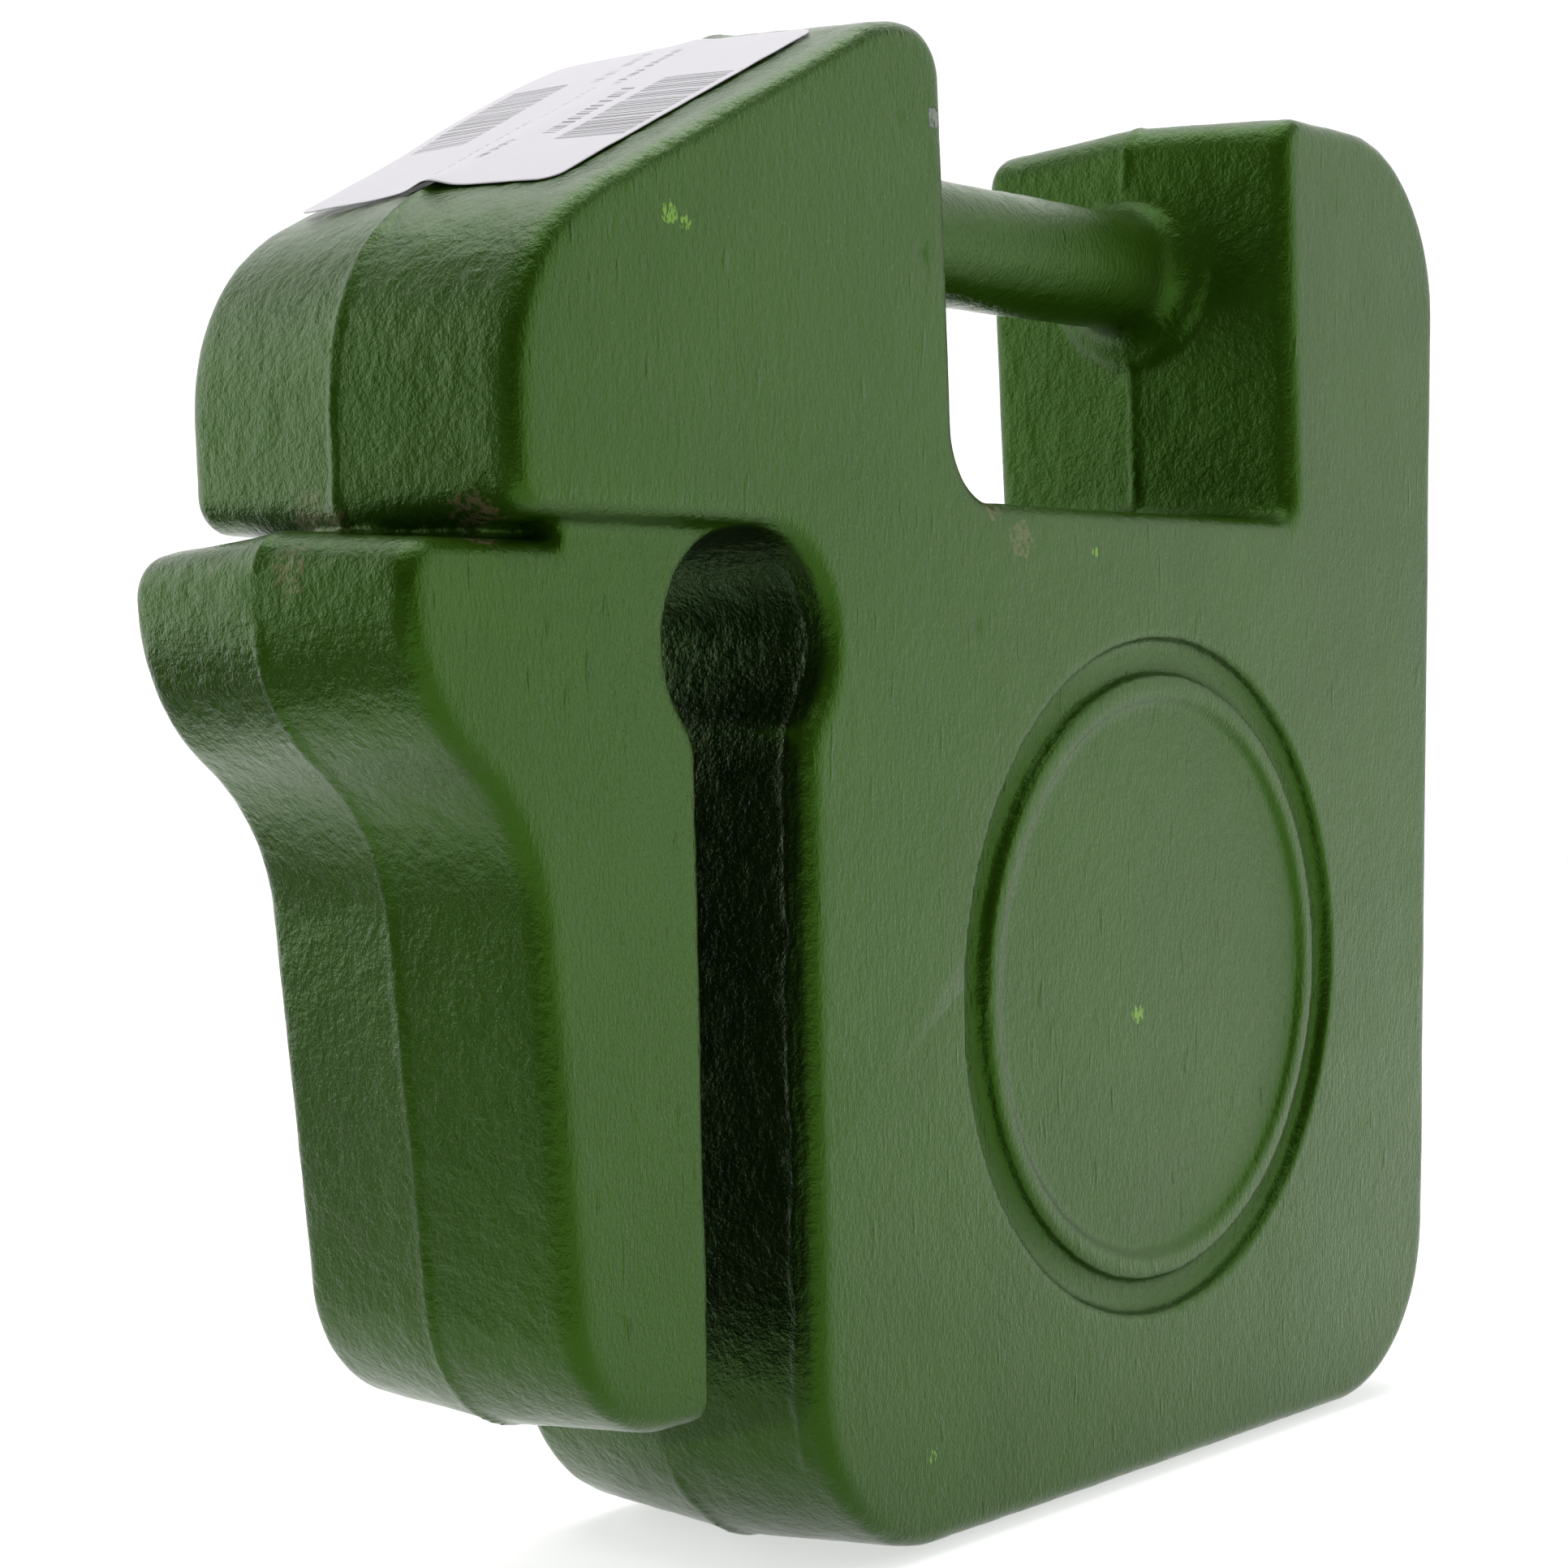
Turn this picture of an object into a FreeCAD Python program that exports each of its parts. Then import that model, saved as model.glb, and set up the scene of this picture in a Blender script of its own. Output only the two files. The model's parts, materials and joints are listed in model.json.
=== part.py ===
"""Tractor suitcase weight: one iron casting with a cast-in carrying bar, and a paper label stuck on it.

X runs along the weight from its hook to its square end, Y through its thickness, Z up.
The origin is on the ground, in the middle of the weight's length and thickness.
The mould parts on the plane Y = 0, and every wall tapers from there to both side faces.
"""
import FreeCAD, Part
import os
import re
import Sketcher

SIZES = [
    # name, value, note
    ("thickness", 62.0, "side face to side face"),
    ("draft", 3.3, "taper of every wall from the parting plane, degrees"),
    ("side_edge_radius", 3.1, "rounding round both side faces"),
    ("right_edge", 131.4, "plain end of the weight, from the middle"),
    ("foot_ground", 0.4, "ground off the parting ridge underneath, so that the weight stands"),
    ("bottom_right_radius", 30.0, ""),
    ("bottom_left_radius", 30.0, ""),
    ("slot_axis", -65.6, "middle of the keyhole slot"),
    ("slot_width", 16.0, "at the parting plane"),
    ("bulb_radius", 14.1, "round head of the keyhole"),
    ("bulb_height", 138.3, "centre of the round head"),
    ("neck_radius", 11.0, "where the head runs into the slot"),
    ("shoulder_left", -116.3, "left end of the upper block"),
    ("shoulder_low_radius", 5.2, "lower left corner of the upper block"),
    ("shoulder_top_radius", 30.0, "upper left corner"),
    ("slope_angle", 25.35, "rise of the sloping top, degrees"),
    ("slope_start", 189.6, "height of the sloping top above the left end"),
    ("left_post_top", 227.7, ""),
    ("left_post_blend_radius", 24.0, "sloping top into the flat top"),
    ("left_post_corner_radius", 7.5, ""),
    ("gap_floor", 160.9, "floor of the hand gap"),
    ("gap_left_at_floor", -17.0, "left wall of the hand gap"),
    ("gap_left_at_top", -20.0, ""),
    ("gap_right_at_floor", 77.6, "right wall of the hand gap"),
    ("gap_right_at_top", 73.6, ""),
    ("gap_left_radius", 11.0, ""),
    ("gap_right_radius", 4.0, ""),
    ("right_post_top", 228.0, ""),
    ("right_post_inner_radius", 6.0, ""),
    ("right_post_outer_radius", 29.5, ""),
    ("hook_thickness", 53.2, "hook plate, set back from both side faces"),
    ("hook_edge_radius", 3.2, ""),
    ("hook_left", -131.4, "tip of the hook's nose"),
    ("hook_top", 152.8, "flat top of the nose"),
    ("hook_nose_radius", 6.0, "top corner of the nose"),
    ("nose_bottom", 130.4, "where the nose's end meets the sloping underside, before rounding"),
    ("nose_radius", 27.7, "rounding of that corner"),
    ("nose_slope", 38.4, "underside of the nose above the level, degrees"),
    ("shank_radius", 29.9, "hollow between the nose and the shank"),
    ("shank_left", -103.0, "outer edge of the shank at its foot"),
    ("shank_lean", 4.7, "lean of that edge from upright, degrees"),
    ("hook_bottom", 27.7, ""),
    ("hook_toe_radius", 20.0, "outer bottom corner"),
    ("hook_slot_radius", 1.2, "edges and bottom corner along the slot"),
    ("plate_overlap", 8.0, "how far the hook plate runs up inside the block"),
    ("bar_diameter", 19.6, "cast-in carrying bar"),
    ("bar_height", 202.7, "its axis"),
    ("bar_flare", 5.5, "fillet where the bar runs into each post"),
    ("bar_rooted", 4.0, "length of the bar's ends inside the posts"),
    ("panel_x", 37.0, "centre of the round sunk panel"),
    ("panel_z", 83.7, ""),
    ("panel_radius", 55.6, "outer edge of the ring groove"),
    ("ring_width", 5.8, "the ring groove"),
    ("ring_depth", 2.4, ""),
    ("rim_width", 3.8, "raised rim inside the ring groove"),
    ("field_depth", 1.3, "flat field inside the rim"),
    ("label_width", 49.0, "across the weight"),
    ("label_length", 62.5, "up the slope"),
    ("label_paper", 0.2, "thickness"),
    ("label_start", 2.6, "along the slope, from where the corner rounding ends"),
    ("label_shift", 2.4, "off the parting plane, away from the near face"),
    ("label_corner_radius", 3.0, ""),
]

doc = FreeCAD.newDocument("suitcase_weight")
sheet = doc.addObject("Spreadsheet::Sheet", "Sizes")
for row, (name, value, note) in enumerate(SIZES, start=1):
    sheet.set(f"A{row}", name)
    sheet.set(f"B{row}", str(value))
    sheet.set(f"C{row}", note)
    sheet.setAlias(f"B{row}", name)
doc.recompute()
ALIASES = {name for name, value, note in SIZES}

# Formulas that both the block and the hook plate use.
BULB_TOP = "bulb_height + bulb_radius"
NECK = "bulb_height - sqrt(bulb_radius ^ 2 - (slot_width / 2) ^ 2)"


def formula(text):
    """A formula on the names above, as the document's expressions spell it."""
    return re.sub(r"[a-z_]+", lambda word: f"Sizes.{word[0]}" if word[0] in ALIASES else word[0], text)


def worked_out(text):
    """The number that a formula gives now."""
    result = sheet.evalExpression(formula(text))
    return float(getattr(result, "Value", result))


def bind(target, **sizes):
    for path, text in sizes.items():
        target.setExpression(path, formula(text))


def new_body(name):
    return doc.addObject("PartDesign::Body", name)


def new_sketch(body, name, role):
    origin_plane = next(item for item in body.Origin.OriginFeatures if item.Role == role)
    sketch = body.newObject("Sketcher::SketchObject", name)
    sketch.AttachmentSupport = [(origin_plane, "")]
    sketch.MapMode = "FlatFace"
    return sketch


def hold(sketch, kind, *where, text):
    """A dimension of the sketch, tied to a formula."""
    index = sketch.addConstraint(Sketcher.Constraint(kind, *where, worked_out(text)))
    sketch.setExpression(f"Constraints[{index}]", formula(text))


def draw_outline(sketch, corners, arcs=()):
    """A closed outline through `corners`, each a pair of formulas.

    `arcs` holds, for each side that is an arc, the number of its first corner, its centre's two
    formulas and its radius. Every such arc turns clockwise.
    """
    round_sides = {first: (centre, radius) for first, centre, radius in arcs}
    places = [FreeCAD.Vector(worked_out(across), worked_out(up), 0) for across, up in corners]
    count = len(corners)
    for side in range(count):
        start, end = places[side], places[(side + 1) % count]
        if side not in round_sides:
            sketch.addGeometry(Part.LineSegment(start, end))
            continue
        (across, up), radius = round_sides[side]
        centre = FreeCAD.Vector(worked_out(across), worked_out(up), 0)
        ring = Part.Circle(centre, FreeCAD.Vector(0, 0, 1), worked_out(radius))
        sketch.addGeometry(Part.ArcOfCircle(ring, ring.parameter(end), ring.parameter(start)))
        hold(sketch, "DistanceX", -1, 1, side, 3, text=across)
        hold(sketch, "DistanceY", -1, 1, side, 3, text=up)
    for side in range(count):
        after = (side + 1) % count
        leaves = 1 if side in round_sides else 2
        enters = 2 if after in round_sides else 1
        sketch.addConstraint(Sketcher.Constraint("Coincident", side, leaves, after, enters))
    for side, (across, up) in enumerate(corners):
        enters = 2 if side in round_sides else 1
        spoke = FreeCAD.Vector(0, 0, 0)
        if side - 1 in round_sides:
            centre = round_sides[side - 1][0]
            spoke = places[side] - FreeCAD.Vector(worked_out(centre[0]), worked_out(centre[1]), 0)
        # The end of an arc keeps to its circle, so one coordinate settles it.
        if abs(spoke.x) <= abs(spoke.y):
            hold(sketch, "DistanceX", -1, 1, side, enters, text=across)
        if abs(spoke.x) > abs(spoke.y) or side - 1 not in round_sides:
            hold(sketch, "DistanceY", -1, 1, side, enters, text=up)


def edges_from(shape, place):
    """The names of the edges that leave the parting plane at a corner of an outline."""
    found = []
    for number, edge in enumerate(shape.Edges, start=1):
        ends = [vertex.Point for vertex in edge.Vertexes]
        near = [end for end in ends if (end - place).Length < 0.01]
        if near and max(abs(end.y) for end in ends) > 0.01:
            found.append(f"Edge{number}")
    return found


def edge_in_side_face(shape, place):
    """The name of the side face's edge nearest to a place; a fillet runs on from it where it can."""
    best = None
    for number, edge in enumerate(shape.Edges, start=1):
        if any(abs(vertex.Y - place.y) > 0.01 for vertex in edge.Vertexes):
            continue
        gap = edge.distToShape(Part.Vertex(place))[0]
        if best is None or gap < best[0]:
            best = (gap, f"Edge{number}")
    return [best[1]]


def add_fillet(body, name, edges, radius):
    base = body.Tip
    fillet = body.newObject("PartDesign::Fillet", name)
    fillet.Base = (base, edges)
    fillet.Radius = worked_out(radius)
    bind(fillet, Radius=radius)
    doc.recompute()
    return fillet


def mould_half(name, corners, arcs, roundings, half_depth):
    """What one half of the mould forms: the near half of a tapered plate.

    `roundings` pairs the number of a corner with the radius that rounds it.
    """
    body = new_body(name)
    sketch = new_sketch(body, f"{name}_outline", "XZ_Plane")
    draw_outline(sketch, corners, arcs)
    pad = body.newObject("PartDesign::Pad", f"{name}_pad")
    pad.Profile = sketch
    bind(pad, Length=half_depth, TaperAngle="-draft")
    doc.recompute()
    for corner, radius in roundings:
        across, up = corners[corner]
        place = FreeCAD.Vector(worked_out(across), 0, worked_out(up))
        add_fillet(body, f"{name}_corner_{corner}", edges_from(body.Shape, place), radius)
    return body


def round_side_edge(body, name, side, half_depth, radius):
    """Rounds the side face's edge along one side of the outline and what runs on smoothly from it."""
    across, up = side
    place = FreeCAD.Vector(worked_out(across), -worked_out(half_depth), worked_out(up))
    add_fillet(body, name, edge_in_side_face(body.Shape, place), radius)


def make_block():
    """The full-thickness block: lower body, shoulder over the hook, and both posts."""
    wall = "slot_axis + slot_width / 2"
    slope_end = "shoulder_left + (left_post_top - slope_start) / tan(slope_angle)"
    corners = [
        (wall, "-foot_ground"),
        ("right_edge", "-foot_ground"),
        ("right_edge", "right_post_top"),
        ("gap_right_at_top", "right_post_top"),
        ("gap_right_at_floor", "gap_floor"),
        ("gap_left_at_floor", "gap_floor"),
        ("gap_left_at_top", "left_post_top"),
        (slope_end, "left_post_top"),
        ("shoulder_left", "slope_start"),
        ("shoulder_left", BULB_TOP),
        ("slot_axis", BULB_TOP),
        (wall, NECK),
    ]
    arcs = [(10, ("slot_axis", "bulb_height"), "bulb_radius")]
    roundings = [
        (0, "bottom_left_radius"),
        (1, "bottom_right_radius"),
        (2, "right_post_outer_radius"),
        (3, "right_post_inner_radius"),
        (4, "gap_right_radius"),
        (5, "gap_left_radius"),
        (6, "left_post_corner_radius"),
        (7, "left_post_blend_radius"),
        (8, "shoulder_top_radius"),
        (9, "shoulder_low_radius"),
        (11, "neck_radius"),
    ]
    half_depth = "thickness / 2"
    body = mould_half("block_half", corners, arcs, roundings, half_depth)
    bottom = ("(slot_axis + right_edge) / 2", "-foot_ground")
    round_side_edge(body, "block_side_edge", bottom, half_depth, "side_edge_radius")
    return body


def make_hook():
    """The thinner hook plate: nose, hollow and shank, with the keyhole's other side."""
    wall = "slot_axis - slot_width / 2"
    buried = f"{BULB_TOP} + plate_overlap"
    buried_left = "shoulder_left + shoulder_low_radius + plate_overlap"
    # The nose's underside falls at nose_slope until it meets the leaning edge of the shank.
    run_per_fall = "(1 / tan(nose_slope))"
    reach = "(shank_left - (nose_bottom - hook_bottom) * tan(shank_lean) - hook_left)"
    fall = f"{reach} / ({run_per_fall} - tan(shank_lean))"
    hollow_x = f"hook_left + {fall} * {run_per_fall}"
    hollow_z = f"nose_bottom - {fall}"
    corners = [
        ("shank_left", "hook_bottom"),
        (wall, "hook_bottom"),
        (wall, NECK),
        ("slot_axis", BULB_TOP),
        ("slot_axis", buried),
        (buried_left, buried),
        (buried_left, "hook_top"),
        ("hook_left", "hook_top"),
        ("hook_left", "nose_bottom"),
        (hollow_x, hollow_z),
    ]
    arcs = [(2, ("slot_axis", "bulb_height"), "bulb_radius")]
    roundings = [
        (0, "hook_toe_radius"),
        (2, "neck_radius"),
        (7, "hook_nose_radius"),
        (8, "nose_radius"),
        (9, "shank_radius"),
    ]
    half_depth = "hook_thickness / 2"
    body = mould_half("hook_half", corners, arcs, roundings, half_depth)
    shank = ("shank_left", "(hook_bottom + nose_bottom) / 2")
    round_side_edge(body, "hook_outer_edge", shank, half_depth, "hook_edge_radius")
    heel = FreeCAD.Vector(worked_out(wall), 0, worked_out("hook_bottom"))
    add_fillet(body, "hook_slot_edges", edges_from(body.Shape, heel), "hook_slot_radius")
    return body


def make_bar():
    """The carrying bar, turned about its own axis, with a flare at each post."""
    root_left = "gap_left_at_top - bar_rooted"
    root_right = "gap_right_at_floor + bar_rooted"
    # Each post's wall leans, so the flares end where the wall is at the bar's height.
    part_way = "(bar_height - gap_floor)"
    face_left = (
        "gap_left_at_floor + (gap_left_at_top - gap_left_at_floor)"
        f" * {part_way} / (left_post_top - gap_floor)"
    )
    face_right = (
        "gap_right_at_floor + (gap_right_at_top - gap_right_at_floor)"
        f" * {part_way} / (right_post_top - gap_floor)"
    )
    surface = "bar_diameter / 2"
    rim = f"{surface} + bar_flare"
    corners = [
        (root_left, "0"),
        (root_right, "0"),
        (root_right, rim),
        (face_right, rim),
        (f"{face_right} - bar_flare", surface),
        (f"{face_left} + bar_flare", surface),
        (face_left, rim),
        (root_left, rim),
    ]
    arcs = [
        (3, (f"{face_right} - bar_flare", rim), "bar_flare"),
        (5, (f"{face_left} + bar_flare", rim), "bar_flare"),
    ]
    body = new_body("bar")
    sketch = new_sketch(body, "bar_outline", "XZ_Plane")
    draw_outline(sketch, corners, arcs)
    turned = body.newObject("PartDesign::Revolution", "bar_turned")
    turned.Profile = sketch
    turned.ReferenceAxis = (sketch, ["H_Axis"])
    turned.Angle = 360
    bind(body, **{"Placement.Base.z": "bar_height"})
    doc.recompute()
    return body


def make_disc(name, radius, depth):
    """A flat round cutter, sunk into the near side face by `depth`."""
    disc = doc.addObject("Part::Cylinder", name)
    disc.Placement = FreeCAD.Placement(
        FreeCAD.Vector(0, 0, 0), FreeCAD.Rotation(FreeCAD.Vector(1, 0, 0), 90)
    )
    bind(disc, Radius=radius, Height=f"{depth} + side_edge_radius")
    bind(
        disc,
        **{
            "Placement.Base.x": "panel_x",
            "Placement.Base.y": f"{depth} - thickness / 2",
            "Placement.Base.z": "panel_z",
        },
    )
    return disc


def cut(name, base, tool):
    result = doc.addObject("Part::Cut", name)
    result.Base = base
    result.Tool = tool
    return result


def fuse(name, shapes):
    result = doc.addObject("Part::MultiFuse", name)
    result.Shapes = shapes
    result.Refine = True
    return result


def mirror_of(body):
    """The far half of the mould forms the same shape as the near half."""
    far = doc.addObject("Part::Mirroring", f"{body.Name}_far")
    far.Source = body
    far.Normal = FreeCAD.Vector(0, 1, 0)
    return far


def make_ground():
    """What lies under the ground: it takes the parting ridge off the underside as a flat strip."""
    ground = doc.addObject("Part::Box", "ground")
    bind(ground, Length="right_edge - hook_left", Width="thickness", Height="2 * foot_ground")
    bind(
        ground,
        **{
            "Placement.Base.x": "hook_left",
            "Placement.Base.y": "-thickness / 2",
            "Placement.Base.z": "-2 * foot_ground",
        },
    )
    return ground


def make_casting():
    block = make_block()
    hook = make_hook()
    bar = make_bar()
    whole = fuse("cast_whole", [block, mirror_of(block), hook, mirror_of(hook), bar])
    ring = cut(
        "ring_groove",
        make_disc("ring_outer", "panel_radius", "ring_depth"),
        make_disc("ring_inner", "panel_radius - ring_width", "ring_depth + side_edge_radius"),
    )
    field = make_disc("panel_field", "panel_radius - ring_width - rim_width", "field_depth")
    with_ring = cut("cast_with_ring", whole, ring)
    with_panel = cut("cast_with_panel", with_ring, field)
    casting = cut("weight_casting", with_panel, make_ground())
    doc.recompute()
    return casting


def make_label():
    """The paper label, lying over the parting ridge of the sloping top."""
    body = new_body("label")
    near = "(label_shift - label_width / 2)"
    far = "(label_shift + label_width / 2)"
    near_drop = f"{near} * tan(draft)"
    far_drop = f"-{far} * tan(draft)"
    corners = [
        (near, near_drop),
        ("0", "0"),
        (far, far_drop),
        (far, f"{far_drop} + label_paper"),
        ("0", "label_paper"),
        (near, f"{near_drop} + label_paper"),
    ]
    sketch = new_sketch(body, "label_section", "YZ_Plane")
    draw_outline(sketch, corners)
    pad = body.newObject("PartDesign::Pad", "label_pad")
    pad.Profile = sketch
    bind(pad, Length="label_length")
    doc.recompute()
    ends = []
    for number, edge in enumerate(body.Shape.Edges, start=1):
        across_paper = edge.Length < 2 * worked_out("label_paper")
        off_ridge = all(abs(vertex.Y) > 1 for vertex in edge.Vertexes)
        if across_paper and off_ridge:
            ends.append(f"Edge{number}")
    add_fillet(body, "label_corners", ends, "label_corner_radius")
    run = "shoulder_top_radius * tan((90 - slope_angle) / 2) + label_start"
    body.Placement = FreeCAD.Placement(
        FreeCAD.Vector(0, 0, 0), FreeCAD.Rotation(FreeCAD.Vector(0, -1, 0), 1)
    )
    bind(
        body,
        **{
            "Placement.Base.x": f"shoulder_left + ({run}) * cos(slope_angle)",
            "Placement.Base.z": f"slope_start + ({run}) * sin(slope_angle)",
            "Placement.Rotation.Angle": "slope_angle",
        },
    )
    doc.recompute()
    return body


def check_document():
    for item in doc.Objects:
        faults = [word for word in item.State if word in ("Invalid", "Error")]
        if faults:
            raise RuntimeError(f"{item.Name} is {faults}")


def write_parts(nodes):
    check_document()
    for name, item in nodes.items():
        item.Label = name
        shape = item.Shape
        if shape.isNull() or not shape.isValid():
            raise RuntimeError(f"{name} has no valid shape")
    os.makedirs("parts", exist_ok=True)
    for name, item in nodes.items():
        item.Shape.exportStep(f"parts/{name}.step")
        box = item.Shape.optimalBoundingBox()
        print(f"{name}: {len(item.Shape.Solids)} solid, {item.Shape.Volume / 1000:.1f} cm3, {box}")


write_parts({"weight_casting": make_casting(), "paper_label": make_label()})
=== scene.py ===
"""The looks of a tractor suitcase weight: green enamel over rough cast iron, with a paper label.

Everything is in metres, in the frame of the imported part: X from the hook to the plain end,
Y away from the panelled face, Z up, and the parting line on Y = 0.
"""

import itertools
import json
import math

import bpy
import numpy as np
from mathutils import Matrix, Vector


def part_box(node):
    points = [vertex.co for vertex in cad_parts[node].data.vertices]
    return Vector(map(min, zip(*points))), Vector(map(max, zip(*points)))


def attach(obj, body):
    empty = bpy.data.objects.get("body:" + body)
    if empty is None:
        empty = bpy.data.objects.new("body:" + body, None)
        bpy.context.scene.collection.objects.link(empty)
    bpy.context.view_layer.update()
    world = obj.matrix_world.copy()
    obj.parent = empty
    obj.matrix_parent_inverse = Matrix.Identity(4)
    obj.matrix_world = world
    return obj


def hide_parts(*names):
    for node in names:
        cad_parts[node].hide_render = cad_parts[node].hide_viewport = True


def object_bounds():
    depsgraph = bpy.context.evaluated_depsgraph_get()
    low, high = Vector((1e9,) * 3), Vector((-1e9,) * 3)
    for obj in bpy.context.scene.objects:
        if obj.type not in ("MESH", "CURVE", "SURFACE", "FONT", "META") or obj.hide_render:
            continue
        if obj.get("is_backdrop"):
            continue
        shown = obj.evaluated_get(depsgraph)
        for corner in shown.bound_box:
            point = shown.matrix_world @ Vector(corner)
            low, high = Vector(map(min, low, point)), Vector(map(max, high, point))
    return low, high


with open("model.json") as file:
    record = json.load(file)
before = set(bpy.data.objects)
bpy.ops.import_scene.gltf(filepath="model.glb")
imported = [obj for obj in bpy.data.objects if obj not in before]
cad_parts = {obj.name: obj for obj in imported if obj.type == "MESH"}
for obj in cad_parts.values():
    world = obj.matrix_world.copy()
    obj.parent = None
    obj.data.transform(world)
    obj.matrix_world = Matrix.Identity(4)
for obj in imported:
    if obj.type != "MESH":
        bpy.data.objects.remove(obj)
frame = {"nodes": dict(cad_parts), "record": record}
cad_low, cad_high = (list(corner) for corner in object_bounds())

MM = 0.001
SEED = 7


def mount_place(name):
    """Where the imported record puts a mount, in mm."""
    mount = next(one for one in frame["record"]["mounts"] if one["name"] == name)
    return [value / MM for value in mount["pos_m"]]


# The middle of the keyhole's slot, the middle of its head and the bar's axis, in mm.
SLOT_X = mount_place("bracket_slot")[0]
HEAD_Z = 138.3
BAR_Z = 202.7


# ---------------------------------------------------------------- small tools

def lattice_noise(points, cell, seed):
    """Smooth noise from about -1 to 1; `points` in metres, `cell` the size of its bumps."""
    size = 32
    table = np.random.default_rng(SEED + seed).uniform(-1, 1, (size, size, size))
    place = points / np.asarray(cell)
    low = np.floor(place).astype(int)
    part = place - low
    part = part * part * (3 - 2 * part)
    total = np.zeros(len(points))
    for corner in itertools.product((0, 1), repeat=3):
        weight = np.prod(np.where(corner, part, 1 - part), axis=1)
        i, j, k = ((low + corner) % size).T
        total += weight * table[i, j, k]
    return total


def smoothstep(value, start, end):
    part = np.clip((value - start) / (end - start), 0, 1)
    return part * part * (3 - 2 * part)


def mesh_points(mesh):
    flat = np.zeros(len(mesh.vertices) * 3)
    mesh.vertices.foreach_get("co", flat)
    return flat.reshape(-1, 3)


def mesh_normals(mesh):
    flat = np.zeros(len(mesh.vertices) * 3)
    mesh.vertex_normals.foreach_get("vector", flat)
    return flat.reshape(-1, 3)


def set_points(mesh, points):
    mesh.vertices.foreach_set("co", points.ravel())
    mesh.update()


def new_piece(name, mesh):
    piece = bpy.data.objects.new(name, mesh)
    bpy.context.scene.collection.objects.link(piece)
    return piece


def apply_modifiers(piece):
    """Swaps the piece's mesh for what its modifiers make of it."""
    graph = bpy.context.evaluated_depsgraph_get()
    made = bpy.data.meshes.new_from_object(piece.evaluated_get(graph))
    piece.modifiers.clear()
    piece.data = made
    return made


# ---------------------------------------------------------------- the casting

# Where an effect is nil and where it is full, in mm.
SLOT_SIDE, SLOT_END, HEAD_RIM = (14, 11), (136, 132), (19, 16)
BAR_ROUND, BAR_LEFT, BAR_RIGHT = (16, 13), (-19, -15), (79, 76)


def in_keyhole(points):
    """From 0 to 1: how far a point is inside the keyhole slot, which a core formed."""
    x, z = points[:, 0] / MM, points[:, 2] / MM
    slot = smoothstep(abs(x - SLOT_X), *SLOT_SIDE) * smoothstep(z, *SLOT_END)
    head = smoothstep(np.hypot(x - SLOT_X, z - HEAD_Z), *HEAD_RIM)
    return np.maximum(slot, head)


def on_bar(points):
    """From 0 to 1: how far a point is on the carrying bar."""
    x, y, z = points.T / MM
    near = np.hypot(y, z - BAR_Z)
    return smoothstep(near, *BAR_ROUND) * smoothstep(x, *BAR_LEFT) * smoothstep(x, *BAR_RIGHT)


LUMPS = [
    # x, z on the panelled face, reach across and up, height, in mm
    (-2.4, 11.4, 4.5, 2.0, 0.32),
    (62.2, 12.0, 5.0, 1.8, 0.30),
    (48.9, 8.6, 2.5, 2.2, 0.25),
    (76.0, 21.3, 1.3, 3.6, 0.30),
    (11.4, 6.0, 3.0, 1.5, 0.22),
    (-61.9, 184.5, 0.8, 4.2, 0.16),
    (-27.7, 193.9, 1.1, 1.4, -0.45),
    (-14.8, 141.0, 1.0, 1.2, -0.30),
    (-33.0, 212.0, 0.8, 0.9, -0.25),
]


VOXEL = 0.75 * MM
MOST_TRIANGLES = 190000
# The skin and the flash, in mm.
WAVE, SWELL, PEBBLE = 0.10, 0.05, 0.07
RIDGE_HEIGHT, RIDGE_HALF, PARTING_STEP, RIDGE_REACH = 0.42, 0.55, 0.10, (9, 2.5)
CORE_FLASH_Y, CORE_FLASH_HEIGHT, CORE_FLASH_HALF = -26.6, 0.35, 0.6


def even_casting():
    """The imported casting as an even, fine mesh whose sharp edges are eased as casting eases them."""
    source = frame["nodes"]["weight_casting"]
    piece = new_piece("casting", source.data.copy())
    weld = piece.modifiers.new("weld", "WELD")
    weld.merge_threshold = 1e-6
    apply_modifiers(piece)
    remesh = piece.modifiers.new("remesh", "REMESH")
    remesh.mode = "VOXEL"
    remesh.voxel_size = VOXEL
    relax = piece.modifiers.new("relax", "SMOOTH")
    relax.factor = 0.5
    relax.iterations = 6
    apply_modifiers(piece)
    return piece


def parting_rise(points, formed):
    """The parting flash, ground down to a thin ridge that wanders a little, and the moulds' mismatch."""
    y = points[:, 1] / MM
    wander = 0.30 * lattice_noise(points, 22 * MM, 4) + 0.12 * lattice_noise(points, 4 * MM, 5)
    height = RIDGE_HEIGHT + 0.12 * lattice_noise(points, 7 * MM, 6)
    ridge = np.exp(-(((y - wander) / RIDGE_HALF) ** 2))
    step = PARTING_STEP * smoothstep(y - wander, -0.8, 0.8)
    return formed * (height * ridge + step) * smoothstep(abs(y), *RIDGE_REACH)


def core_rise(points, formed):
    """The core's flash inside the keyhole, near the panelled face."""
    jag = 0.9 * lattice_noise(points, 6 * MM, 7) + 0.5 * lattice_noise(points, 2.2 * MM, 8)
    line = np.exp(-(((points[:, 1] / MM - CORE_FLASH_Y - jag) / CORE_FLASH_HALF) ** 2))
    return CORE_FLASH_HEIGHT * formed * line


def lump_rise(points, near_face):
    """The lumps and pits of the panelled face."""
    x, z = points[:, 0] / MM, points[:, 2] / MM
    rise = np.zeros(len(points))
    for at_x, at_z, reach_x, reach_z, lump in LUMPS:
        away = ((x - at_x) / reach_x) ** 2 + ((z - at_z) / reach_z) ** 2
        rise += near_face * lump * np.exp(-away)
    return rise


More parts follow.
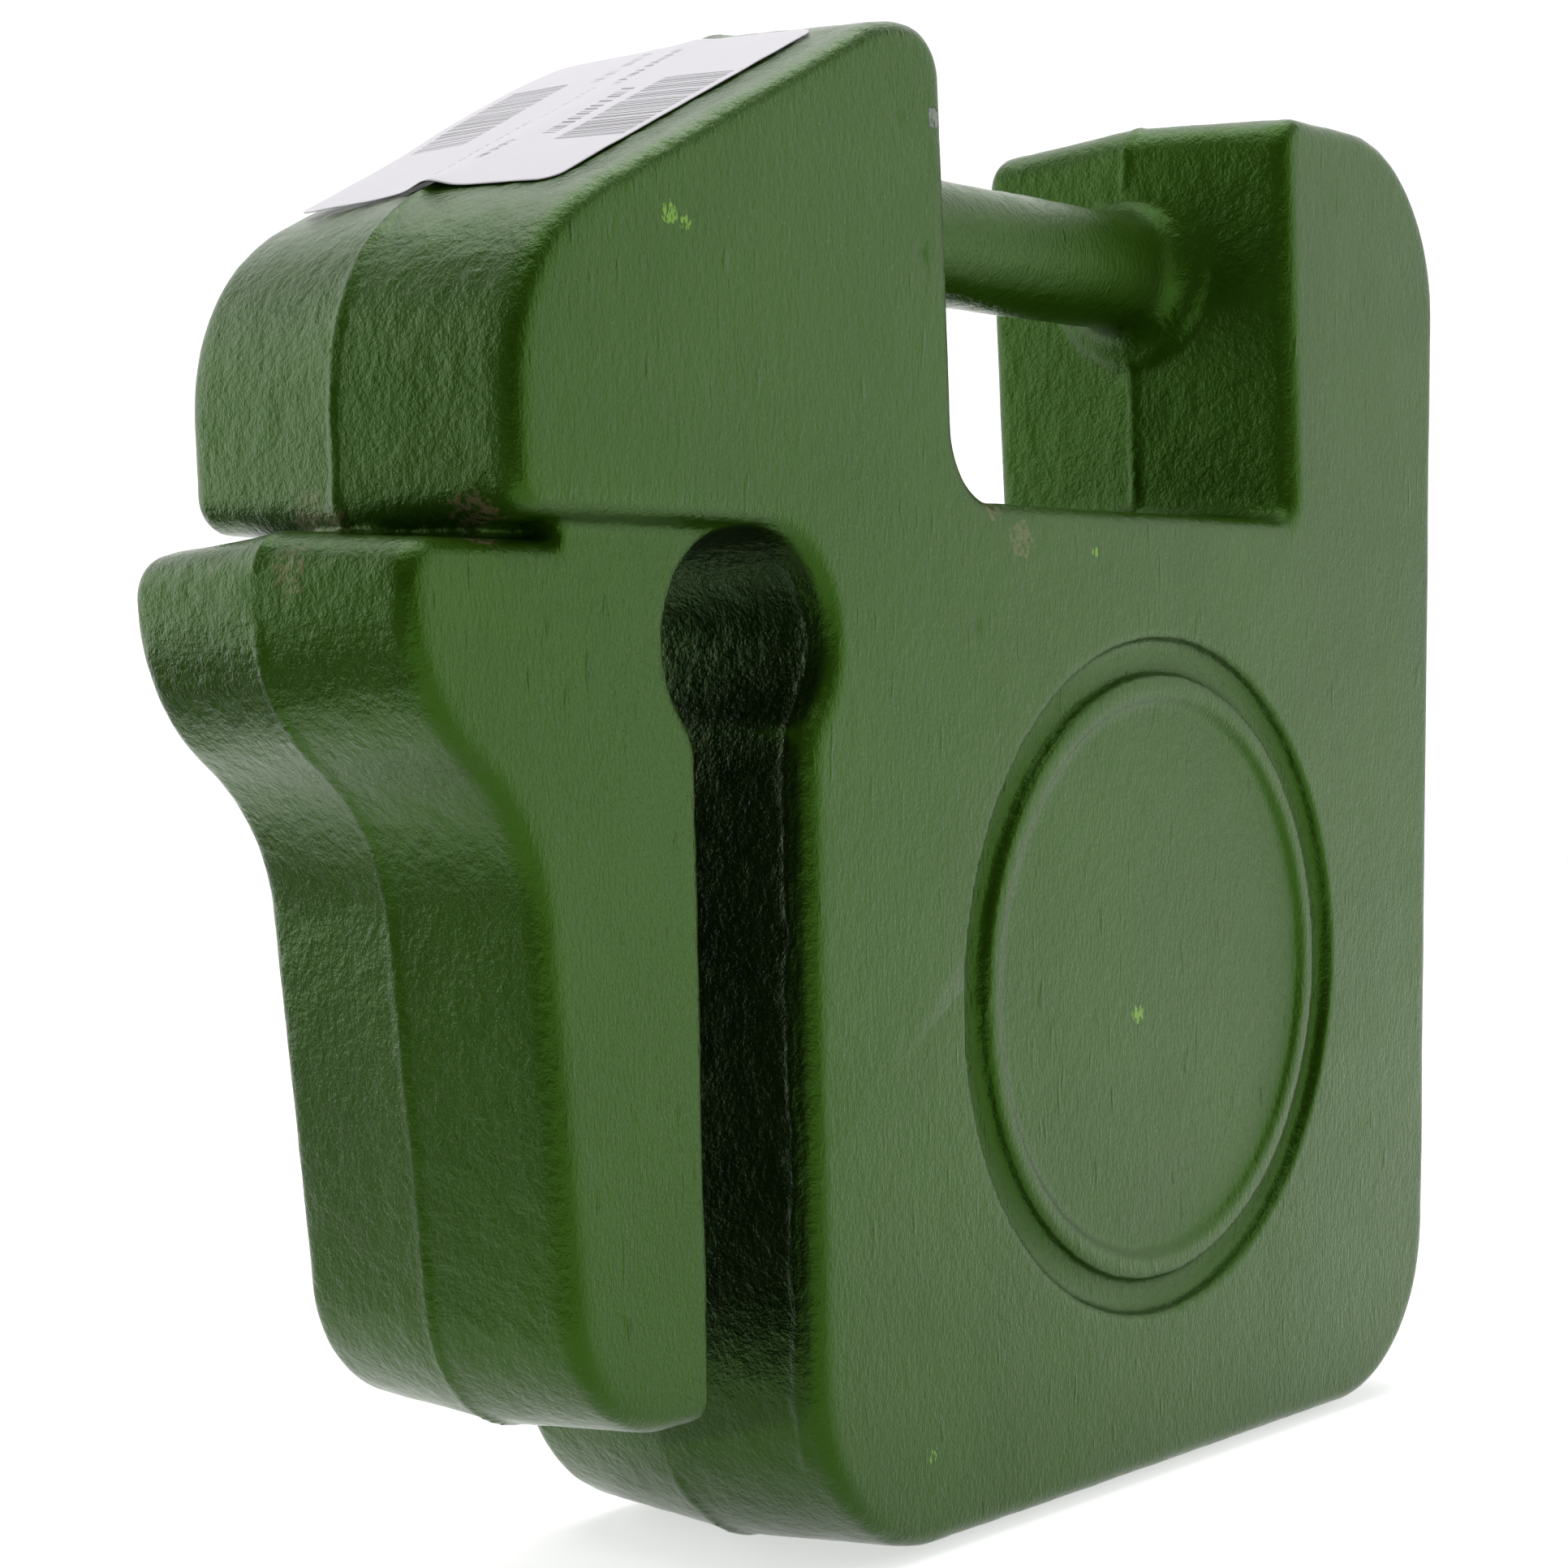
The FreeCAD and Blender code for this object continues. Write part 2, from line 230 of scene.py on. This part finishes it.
def rough_casting():
    """The casting with rounded cast edges, its flash and the skin's larger unevenness."""
    piece = even_casting()
    mesh = piece.data
    points = mesh_points(mesh)
    normals = mesh_normals(mesh)
    # Long waves all over, and a coarser pebble on the tapered walls than on the side faces.
    wall = 1 - smoothstep(abs(normals[:, 1]), 0.55, 0.9)
    rise = WAVE * lattice_noise(points, 24 * MM, 1) + SWELL * lattice_noise(points, 9 * MM, 2)
    rise += PEBBLE * wall * lattice_noise(points, 2.6 * MM, 3)
    cored = in_keyhole(points)
    rise += parting_rise(points, wall * (1 - cored) * (1 - on_bar(points)))
    rise += core_rise(points, cored * wall)
    rise += lump_rise(points, smoothstep(-normals[:, 1], 0.6, 0.9))
    points = points + normals * (rise * MM)[:, None]
    set_points(mesh, np.clip(points, cad_low, cad_high))

    thin = piece.modifiers.new("thin", "DECIMATE")
    thin.ratio = MOST_TRIANGLES / (2 * len(mesh.polygons))
    mesh = apply_modifiers(piece)
    set_points(mesh, np.clip(mesh_points(mesh), cad_low, cad_high))
    mesh.polygons.foreach_set("use_smooth", np.ones(len(mesh.polygons), bool))
    return piece


# ---------------------------------------------------------------- materials

class Nodes:
    """A material's node tree, with short ways to add to it."""

    def __init__(self, name):
        self.material = bpy.data.materials.new(name)
        self.material.use_nodes = True
        self.tree = self.material.node_tree
        self.shader = self.tree.nodes["Principled BSDF"]

    def node(self, kind, **settings):
        made = self.tree.nodes.new(kind)
        for name, value in settings.items():
            setattr(made, name, value)
        return made

    def link(self, source, target):
        self.tree.links.new(source, target)

    def put(self, socket, value):
        if isinstance(value, bpy.types.NodeSocket):
            self.link(value, socket)
        else:
            socket.default_value = value

    def math(self, operation, *values, clamp=False):
        made = self.node("ShaderNodeMath", operation=operation, use_clamp=clamp)
        for socket, value in zip(made.inputs, values):
            self.put(socket, value)
        return made.outputs[0]

    def place(self):
        return self.node("ShaderNodeTexCoord").outputs["Object"]

    def scaled(self, vector, scale):
        made = self.node("ShaderNodeVectorMath", operation="MULTIPLY")
        self.put(made.inputs[0], vector)
        made.inputs[1].default_value = scale
        return made.outputs[0]

    def noise(self, vector, scale, detail=2.0, rough=0.5):
        made = self.node("ShaderNodeTexNoise")
        self.put(made.inputs["Vector"], vector)
        made.inputs["Scale"].default_value = scale
        made.inputs["Detail"].default_value = detail
        made.inputs["Roughness"].default_value = rough
        return made.outputs["Fac"]

    def ramp(self, value, low, high):
        """0 below `low`, 1 above `high`, smooth between."""
        made = self.node("ShaderNodeMapRange", interpolation_type="SMOOTHSTEP")
        self.put(made.inputs["Value"], value)
        made.inputs["From Min"].default_value = low
        made.inputs["From Max"].default_value = high
        return made.outputs["Result"]

    def mix(self, amount, first, second):
        made = self.node("ShaderNodeMix", data_type="RGBA")
        self.put(made.inputs["Factor"], amount)
        for socket, value in ((made.inputs["A"], first), (made.inputs["B"], second)):
            self.put(socket, value)
        return made.outputs["Result"]

    def bump(self, height, distance, normal=None):
        made = self.node("ShaderNodeBump")
        self.put(made.inputs["Height"], height)
        made.inputs["Distance"].default_value = distance
        if normal is not None:
            self.link(normal, made.inputs["Normal"])
        return made.outputs["Normal"]


def linear(red, green, blue):
    """A colour named by its 0 to 255 values, as the shader wants it."""
    def one(value):
        value /= 255
        return value / 12.92 if value <= 0.04045 else ((value + 0.055) / 1.055) ** 2.4

    return (one(red), one(green), one(blue), 1.0)


def spot(tree, place, centre, radius):
    """1 at a point, fading to 0 at `radius` from it; metres."""
    away = tree.node("ShaderNodeVectorMath", operation="DISTANCE")
    tree.link(place, away.inputs[0])
    away.inputs[1].default_value = centre
    return tree.ramp(away.outputs["Value"], radius, 0.25 * radius)


# Where paint is rubbed or chipped: point and reach, in mm.
SCUFFS = [((-3, -30, 154), 7), ((-10, -29, 158), 6), ((-116, 5, 153), 14), ((-114, -22, 153), 10),
          ((-128, -6, 147), 9), ((-127, 8, 147), 8)]
FLECKS = [((-83.7, -31, 193.9), 3.4), ((-80.5, -31, 193.0), 2.4), ((31.2, -30, 78.4), 4.0),
          ((-28.5, -31, 15.8), 2.2), ((17.3, -31, 152.5), 1.8), ((-25.0, -30, 217.6), 1.6)]
CHIP = ((-24.4, -30.4, 213.2), 3.0)


# The colours of the paint's two greens, of dust, of a rub, of a fleck, and of what shows in a chip,
# and the near black of the painted shade inside the keyhole.
GREEN, PALER_GREEN = linear(38, 66, 7), linear(44, 74, 10)
DUST, RUBBED, FLECK = linear(150, 160, 130), linear(124, 104, 84), linear(132, 176, 62)
BARE_IRON, KEYHOLE_SHADE_BLACK = linear(128, 126, 130), linear(12, 16, 9)
GLOSS_TINT = (0.42, 1.0, 0.16, 1.0)
ROUGH_LOW, ROUGH_HIGH = 0.13, 0.22
RELIEF = 0.42 * MM


# Where the painted shade on the keyhole's slot, on the slot's top and on its head is nil and full, in mm.
SLOT_SHADE, SLOT_TOP_SHADE, HEAD_SHADE = (10.4, 9.6), (0.0, -2.0), (16.4, 15.6)


def side_mask(t):
    """1 on the two side faces, 0 on the walls between them."""
    facing = t.node("ShaderNodeSeparateXYZ")
    t.link(t.node("ShaderNodeNewGeometry").outputs["Normal"], facing.inputs[0])
    return t.ramp(t.math("ABSOLUTE", facing.outputs["Y"]), 0.6, 0.93)


def skin_relief(t, place, side, wall):
    """Pebbled skin under the paint, streaks and drips on the side faces, and fine orange peel."""
    pebble = t.noise(place, 900, 3, 0.6)
    coarse = t.noise(place, 330, 2, 0.5)
    peel = t.noise(place, 2600, 3, 0.65)
    streak = t.noise(t.scaled(place, (1.0, 1.0, 0.42)), 1500, 3, 0.65)
    drip = t.ramp(t.noise(t.scaled(place, (1.0, 1.0, 0.20)), 620, 1, 0.5), 0.66, 0.84)
    wall_height = t.math("ADD", t.math("MULTIPLY", pebble, 0.50), t.math("MULTIPLY", coarse, 0.55))
    side_height = t.math("ADD", t.math("MULTIPLY", streak, 0.46), t.math("MULTIPLY", coarse, 0.30))
    side_height = t.math("ADD", side_height, t.math("MULTIPLY", drip, 0.30))
    height = t.math("ADD", t.math("MULTIPLY", wall_height, wall), t.math("MULTIPLY", side_height, side))
    return t.math("ADD", height, t.math("MULTIPLY", peel, 0.22))


def worn_paint(t, place, rough_edge):
    """Two greens in soft patches, with dust, rubs and flecks."""
    patch = t.ramp(t.noise(place, 30, 3, 0.6), 0.3, 0.7)
    colour = t.mix(patch, GREEN, PALER_GREEN)
    dust = t.ramp(t.noise(place, 1500, 2, 0.6), 0.66, 0.74)
    colour = t.mix(t.math("MULTIPLY", dust, 0.10), colour, DUST)
    for centre, reach in SCUFFS:
        near = spot(t, place, [v * MM for v in centre], reach * MM)
        rub = t.ramp(t.math("MULTIPLY", near, rough_edge), 0.40, 0.55)
        colour = t.mix(t.math("MULTIPLY", rub, 0.55), colour, RUBBED)
    fleck_edge = t.noise(t.scaled(place, (1.3, 1.0, 0.6)), 1100, 2, 0.6)
    for centre, reach in FLECKS:
        near = spot(t, place, [v * MM for v in centre], reach * MM)
        fleck = t.ramp(t.math("MULTIPLY", near, fleck_edge), 0.42, 0.50)
        colour = t.mix(t.math("MULTIPLY", fleck, 0.8), colour, FLECK)
    return colour


def keyhole_shade_mask(t, place, wall):
    """1 on the walls of the keyhole's slot and head, where painted shade darkens the paint to near black.
    """
    where = t.node("ShaderNodeSeparateXYZ")
    t.link(place, where.inputs[0])
    aside = t.math("ABSOLUTE", t.math("ADD", where.outputs["X"], -SLOT_X * MM))
    above = t.math("SUBTRACT", where.outputs["Z"], HEAD_Z * MM)
    from_head = t.math("SQRT", t.math("ADD", t.math("POWER", aside, 2.0), t.math("POWER", above, 2.0)))
    in_slot, under_top, in_head = (
        t.ramp(value, nil * MM, full * MM)
        for value, (nil, full) in ((aside, SLOT_SHADE), (above, SLOT_TOP_SHADE), (from_head, HEAD_SHADE))
    )
    inside = t.math("MAXIMUM", t.math("MULTIPLY", in_slot, under_top), in_head)
    return t.math("MULTIPLY", inside, wall)


def enamel():
    """Glossy green paint over a rough skin, darkened to near black inside the keyhole as painted shade.
    """
    t = Nodes("green_enamel")
    place = t.place()
    side = side_mask(t)
    wall = t.math("SUBTRACT", 1.0, side)
    rough_edge = t.noise(place, 900, 3, 0.65)
    colour = worn_paint(t, place, rough_edge)
    height = skin_relief(t, place, side, wall)

    centre, reach = CHIP
    near = spot(t, place, [v * MM for v in centre], reach * MM)
    chip = t.ramp(t.math("MULTIPLY", near, rough_edge), 0.34, 0.42)
    colour = t.mix(chip, colour, BARE_IRON)
    height = t.math("SUBTRACT", height, t.math("MULTIPLY", chip, 1.2))
    # Painted shade: the keyhole's walls are darkened to near black by their place.
    colour = t.mix(t.math("MULTIPLY", keyhole_shade_mask(t, place, wall), 0.85), colour, KEYHOLE_SHADE_BLACK)

    t.link(colour, t.shader.inputs["Base Color"])
    gloss = t.ramp(t.noise(place, 90, 2, 0.5), 0.2, 0.8)
    rough = t.node("ShaderNodeMapRange")
    t.link(gloss, rough.inputs["Value"])
    rough.inputs["To Min"].default_value = ROUGH_LOW
    rough.inputs["To Max"].default_value = ROUGH_HIGH
    t.link(rough.outputs["Result"], t.shader.inputs["Roughness"])
    t.shader.inputs["IOR"].default_value = 1.52
    t.shader.inputs["Specular Tint"].default_value = GLOSS_TINT
    t.link(t.bump(height, RELIEF), t.shader.inputs["Normal"])
    return t.material


# The stripes' print is on above the second of these noise levels and off below the first, its fields
# fade in over FIELD_EDGE mm, and each field starts FIELD_APART further along the noise.
INK_OFF, INK_ON, FIELD_EDGE, FIELD_APART = 0.49, 0.53, 0.06, 40.0
PAPER, INK = linear(236, 233, 239), linear(38, 36, 40)


def stripes(t, along, across, scale, seed, box):
    """A field of printed stripes of uneven width inside box = (along from, to, across from, to)."""
    line = t.node("ShaderNodeTexNoise", noise_dimensions="1D")
    t.link(t.math("ADD", along, seed), line.inputs["W"])
    line.inputs["Scale"].default_value = scale
    line.inputs["Detail"].default_value = 0.0
    ink = t.ramp(line.outputs["Fac"], INK_OFF, INK_ON)
    inside = 1.0
    for value, low, high in ((along, box[0], box[1]), (across, box[2], box[3])):
        inside = t.math("MULTIPLY", inside, t.ramp(value, low, low + FIELD_EDGE))
        inside = t.math("MULTIPLY", inside, t.ramp(value, high, high - FIELD_EDGE))
    return t.math("MULTIPLY", ink, inside)


# Printed fields, mm on the label: up the slope from, to; across from, to; stripes per mm; blackness.
FIELDS = [
    (17.5, 44.0, -20.5, -8.0, 2.6, 0.85),
    (23.0, 48.0, 13.5, 24.5, 2.6, 0.75),
    (21.0, 40.0, -5.6, -3.2, 1.5, 0.75),
    (11.0, 18.5, -0.6, 1.2, 1.6, 0.75),
    (42.0, 58.0, -1.0, 0.6, 1.4, 0.65),
    (8.0, 30.0, 5.6, 6.3, 1.3, 0.40),
    (30.0, 44.0, 4.2, 5.0, 1.5, 0.35),
    (46.0, 60.0, 6.5, 8.4, 1.2, 0.40),
]


def paper():
    """Smooth white paper with its printed fields."""
    t = Nodes("label_paper")
    place = t.place()
    split = t.node("ShaderNodeSeparateXYZ")
    t.link(t.node("ShaderNodeTexCoord").outputs["UV"], split.inputs[0])
    along, across = split.outputs["X"], split.outputs["Y"]
    colour = PAPER
    for number, (start, end, near, far, scale, dark) in enumerate(FIELDS):
        ink = stripes(t, along, across, scale, FIELD_APART * number, (start, end, near, far))
        colour = t.mix(t.math("MULTIPLY", ink, dark), colour, INK)
    t.link(colour, t.shader.inputs["Base Color"])
    t.shader.inputs["Roughness"].default_value = 0.55
    t.link(t.bump(t.noise(place, 240, 2, 0.5), 0.06 * MM), t.shader.inputs["Normal"])
    return t.material


# ---------------------------------------------------------------- the label

# The slope that the label lies on and the taper across it.
SLOPE = math.radians(25.35)
DRAFT = math.tan(math.radians(3.3))
# The label's length and corner radius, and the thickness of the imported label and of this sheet, in mm.
LABEL_LENGTH, LABEL_CORNER, PACKED_PAPER, SHEET = 62.5, 3.0, 0.2, 0.12
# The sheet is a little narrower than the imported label, and starts at the same foot.
LABEL_INSET = 0.2
label_low, label_high = (np.array(corner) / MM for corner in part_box("paper_label"))
LABEL_NEAR, LABEL_FAR = label_low[1] + LABEL_INSET, label_high[1] - LABEL_INSET
LABEL_FOOT = Vector((
    label_low[0] + PACKED_PAPER * math.sin(SLOPE),
    0,
    label_high[2] - LABEL_LENGTH * math.sin(SLOPE) - PACKED_PAPER * math.cos(SLOPE),
)) * MM


def label_height(along, across):
    """How high the paper lies over the plane through the parting ridge, in mm."""
    near = -abs(across) * DRAFT
    lifted = np.clip(across / LABEL_FAR, 0, 1) * (0.7 + 1.2 * np.exp(-(((along - 46) / 20) ** 2)))
    tent = 0.30 * np.exp(-((across / 3.0) ** 2))
    arch = 0.75 * np.exp(-((along / 5.0) ** 2) - ((across - 0.4) / 3.4) ** 2)
    places = np.stack([along, across, 0 * along], axis=1) * MM
    ripple = 0.10 * lattice_noise(places, 11 * MM, 21) + 0.05 * lattice_noise(places, 4 * MM, 22)
    return 0.32 + near + lifted + tent + arch + ripple


def curled_label():
    """The paper as a thin sheet with round corners; its UV map counts millimetres along and across."""
    across_count, along_count = 84, 108
    along, across = np.meshgrid(
        np.linspace(0, LABEL_LENGTH, along_count + 1),
        np.linspace(LABEL_NEAR, LABEL_FAR, across_count + 1), indexing="ij",
    )
    along, across = along.ravel(), across.ravel()
    # Square corners are drawn in to round ones.
    middle_along = np.clip(along, LABEL_CORNER, LABEL_LENGTH - LABEL_CORNER)
    middle_across = np.clip(across, LABEL_NEAR + LABEL_CORNER, LABEL_FAR - LABEL_CORNER)
    out_along, out_across = along - middle_along, across - middle_across
    reach = np.hypot(out_along, out_across)
    shrink = np.where(reach > 0, np.maximum(abs(out_along), abs(out_across)) / np.maximum(reach, 1e-9), 1)
    along, across = middle_along + out_along * shrink, middle_across + out_across * shrink
    up = label_height(along, across)
    points = np.stack([
        along * math.cos(SLOPE) - up * math.sin(SLOPE),
        across,
        along * math.sin(SLOPE) + up * math.cos(SLOPE),
    ], axis=1) * MM + np.array(LABEL_FOOT)
    row = across_count + 1
    faces = [
        (i * row + j, (i + 1) * row + j, (i + 1) * row + j + 1, i * row + j + 1)
        for i in range(along_count) for j in range(across_count)
    ]
    mesh = bpy.data.meshes.new("label")
    mesh.from_pydata(points.tolist(), [], faces)
    layer = mesh.uv_layers.new(name="millimetres")
    corner_vertex = np.zeros(len(mesh.loops), int)
    mesh.loops.foreach_get("vertex_index", corner_vertex)
    layer.data.foreach_set("uv", np.stack([along, across], axis=1)[corner_vertex].ravel())
    piece = new_piece("label", mesh)
    thick = piece.modifiers.new("thick", "SOLIDIFY")
    thick.thickness = SHEET * MM
    thick.offset = 0
    mesh = apply_modifiers(piece)
    mesh.polygons.foreach_set("use_smooth", np.ones(len(mesh.polygons), bool))
    return piece


# ---------------------------------------------------------------- stage, lamps and camera

# The camera: where it stands, the angles it is turned by, its lens in mm and its shift.
CAMERA_PLACE = (-0.4182, -0.3177, 0.1292)
CAMERA_YAW, CAMERA_PITCH, CAMERA_ROLL = (math.radians(angle) for angle in (50.53, 8.404, 1.126))
CAMERA_LENS, CAMERA_SHIFT = 74.41, (0.0187, 0.2572)
# A white card's glow goes from its near to its far strength between these distances from its middle.
GLOW_NEAR, GLOW_FAR = 0.12, 0.75
FLOOR_DROP = 0.0002


def white_card(name, pale, strength_near, strength_far):
    """Pale and matt for the light; the camera, gloss and glass see it turn white towards the back."""
    t = Nodes(name)
    t.shader.inputs["Base Color"].default_value = (pale, pale, pale, 1)
    t.shader.inputs["Roughness"].default_value = 1.0
    t.shader.inputs["Specular IOR Level"].default_value = 0.0
    t.shader.inputs["Emission Color"].default_value = (1, 1, 1, 1)
    path = t.node("ShaderNodeLightPath")
    seen = t.math("MAXIMUM", path.outputs["Is Camera Ray"], path.outputs["Is Glossy Ray"])
    seen = t.math("MAXIMUM", seen, path.outputs["Is Transmission Ray"])
    away = t.node("ShaderNodeVectorMath", operation="LENGTH")
    t.link(t.place(), away.inputs[0])
    level = t.node("ShaderNodeMapRange", interpolation_type="SMOOTHSTEP")
    t.link(away.outputs["Value"], level.inputs["Value"])
    level.inputs["From Min"].default_value = GLOW_NEAR
    level.inputs["From Max"].default_value = GLOW_FAR
    level.inputs["To Min"].default_value = strength_near
    level.inputs["To Max"].default_value = strength_far
    t.link(t.math("MULTIPLY", seen, level.outputs["Result"]), t.shader.inputs["Emission Strength"])
    return t.material


def add_card(name, material, size, location, rotation=(0, 0, 0)):
    """A flat square of the stage; rotation in degrees."""
    bpy.ops.mesh.primitive_plane_add(
        size=size, location=location, rotation=[math.radians(angle) for angle in rotation]
    )
    card = bpy.context.object
    card.name = name
    card.data.materials.append(material)
    card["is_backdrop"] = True
    return card


def black_matt(name):
    dark = Nodes(name)
    dark.shader.inputs["Base Color"].default_value = (0.02, 0.02, 0.02, 1)
    dark.shader.inputs["Roughness"].default_value = 1.0
    return dark.material


def build_stage():
    add_card("floor", white_card("floor_white", 0.85, 0.62, 0.8), 7, (0, 0, -FLOOR_DROP))
    ahead = Vector((math.sin(CAMERA_YAW), math.cos(CAMERA_YAW), 0)) * math.cos(CAMERA_PITCH)
    square_on = (90, 0, math.degrees(math.atan2(ahead.y, ahead.x)) - 90)
    backdrop = white_card("backdrop_white", 0.55, 1.0, 1.0)
    add_card("backdrop", backdrop, 5, ahead * 2.2 + Vector((0, 0, 2.4)), square_on)
    # Two dark cards outside the camera's view, which only the gloss sees.
    for name, place, width, depth, angles in (
        ("left_flag", (-0.50, 0.22, 0.002), 0.55, 1.0, (0, 0, -39.5)),
        ("front_flag", (-0.75, -0.62, 0.35), 0.9, 0.9, (90, 0, 129.5)),
    ):
        flag = add_card(name, black_matt(name), 1, place, angles)
        flag.scale = (width, depth, 1)
        flag.visible_camera = False
        flag.visible_diffuse = False
        flag.visible_shadow = False


def add_softbox(name, azimuth, elevation, distance, width, height, radiance):
    """A square lamp that faces the weight; azimuth is counted from +X towards +Y."""
    turn, rise = math.radians(azimuth), math.radians(elevation)
    aim = Vector((0.0, 0.0, 0.11))
    away = Vector((math.cos(turn) * math.cos(rise), math.sin(turn) * math.cos(rise), math.sin(rise)))
    data = bpy.data.lights.new(name, "AREA")
    data.shape = "RECTANGLE"
    data.size = width
    data.size_y = height
    data.energy = radiance * width * height * math.pi
    lamp = bpy.data.objects.new(name, data)
    lamp.location = aim + away * distance
    lamp.rotation_euler = (-away).to_track_quat("-Z", "Y").to_euler()
    bpy.context.scene.collection.objects.link(lamp)


WORLD_LIGHT, WORLD_WHITE = 0.18, 1.0


def build_light():
    """Three softboxes and a dim world that the camera sees as white."""
    add_softbox("right_softbox", -52, 18, 1.1, 1.5, 1.0, 1.35)
    add_softbox("left_softbox", 118, 16, 1.1, 1.0, 0.9, 1.75)
    add_softbox("top_softbox", 60, 84, 1.2, 1.3, 1.3, 2.2)
    world = bpy.data.worlds.new("studio")
    bpy.context.scene.world = world
    world.use_nodes = True
    tree = world.node_tree
    shade = tree.nodes["Background"]
    shade.inputs["Color"].default_value = (1, 1, 1, 1)
    path = tree.nodes.new("ShaderNodeLightPath")
    level = tree.nodes.new("ShaderNodeMapRange")
    tree.links.new(path.outputs["Is Camera Ray"], level.inputs["Value"])
    level.inputs["To Min"].default_value = WORLD_LIGHT
    level.inputs["To Max"].default_value = WORLD_WHITE
    tree.links.new(level.outputs["Result"], shade.inputs["Strength"])


def build_camera():
    """A level view turned by the yaw, tipped down by the pitch, and rolled."""
    yaw, pitch, roll = CAMERA_YAW, CAMERA_PITCH, CAMERA_ROLL
    forward = Vector((math.sin(yaw) * math.cos(pitch), math.cos(yaw) * math.cos(pitch), -math.sin(pitch)))
    level_right = Vector((math.cos(yaw), -math.sin(yaw), 0))
    level_down = forward.cross(level_right)
    right = math.cos(roll) * level_right + math.sin(roll) * level_down
    down = math.cos(roll) * level_down - math.sin(roll) * level_right
    data = bpy.data.cameras.new("camera")
    data.lens = CAMERA_LENS
    data.sensor_width = 36
    data.shift_x, data.shift_y = CAMERA_SHIFT
    data.clip_start = 0.01
    camera = bpy.data.objects.new("camera", data)
    matrix = camera.matrix_world.to_3x3()
    matrix.col[0], matrix.col[1], matrix.col[2] = right, -down, -forward
    camera.matrix_world = matrix.to_4x4()
    camera.location = CAMERA_PLACE
    bpy.context.scene.collection.objects.link(camera)
    bpy.context.scene.camera = camera


# ---------------------------------------------------------------- put together

casting = rough_casting()
casting.data.materials.clear()
casting.data.materials.append(enamel())
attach(casting, "root")
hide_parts("weight_casting")

label = curled_label()
label.data.materials.append(paper())
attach(label, "root")
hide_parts("paper_label")

build_stage()
build_light()
build_camera()
bpy.context.scene.view_settings.view_transform = "Standard"
